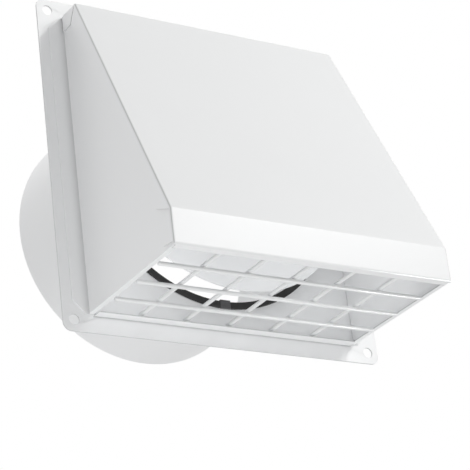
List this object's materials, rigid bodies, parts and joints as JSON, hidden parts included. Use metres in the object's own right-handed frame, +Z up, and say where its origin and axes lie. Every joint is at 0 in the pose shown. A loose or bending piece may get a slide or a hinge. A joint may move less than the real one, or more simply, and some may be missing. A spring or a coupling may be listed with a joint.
{
  "type": "dryer vent cap",
  "caption": "White sheet-metal wall vent cap: slanted folded hood on a square screw plate, round duct collar behind, top-hung damper flap on a rubber seal and a wire guard below.",
  "frame": {"origin": "on the duct axis in the wall plane, the rear face of the back plate", "axes": "+Z up the wall, +Y along the duct axis into the wall, +X to the right for a person facing the wall"},
  "size_m": [0.2, 0.1815, 0.2],
  "materials": {
    "white_paint": "white satin powder coat",
    "wire_coat": "white coated wire",
    "flap_paint": "white satin powder coat",
    "black_rubber": "matt black rubber",
    "dark_magnet": "dark grey ferrite",
    "bright_steel": "bright zinc-plated steel"
  },
  "bodies": {
    "cap": {"back_plate": "white_paint", "duct_collar": "white_paint", "front_panel": "white_paint", "left_cheek": "white_paint", "right_cheek": "white_paint", "rear_sill": "white_paint", "cross_wire_1": "wire_coat", "cross_wire_2": "wire_coat", "cross_wire_3": "wire_coat", "cross_wire_4": "wire_coat", "cross_wire_5": "wire_coat", "long_wire_1": "wire_coat", "long_wire_2": "wire_coat", "long_wire_3": "wire_coat", "seal_ring": "black_rubber", "magnet": "dark_magnet", "left_hinge_ear": "bright_steel", "right_hinge_ear": "bright_steel", "hinge_rod": "bright_steel", "rod_clips": "bright_steel"},
    "flap": {"damper_flap": "flap_paint"}
  },
  "joints": [
    {"name": "flap_swing", "type": "hinge", "parent": "cap", "child": "flap", "pos_m": [0, -0.00585, 0.082], "axis": [-1, 0, 0], "range_deg": [-6.8, 22]}
  ]
}
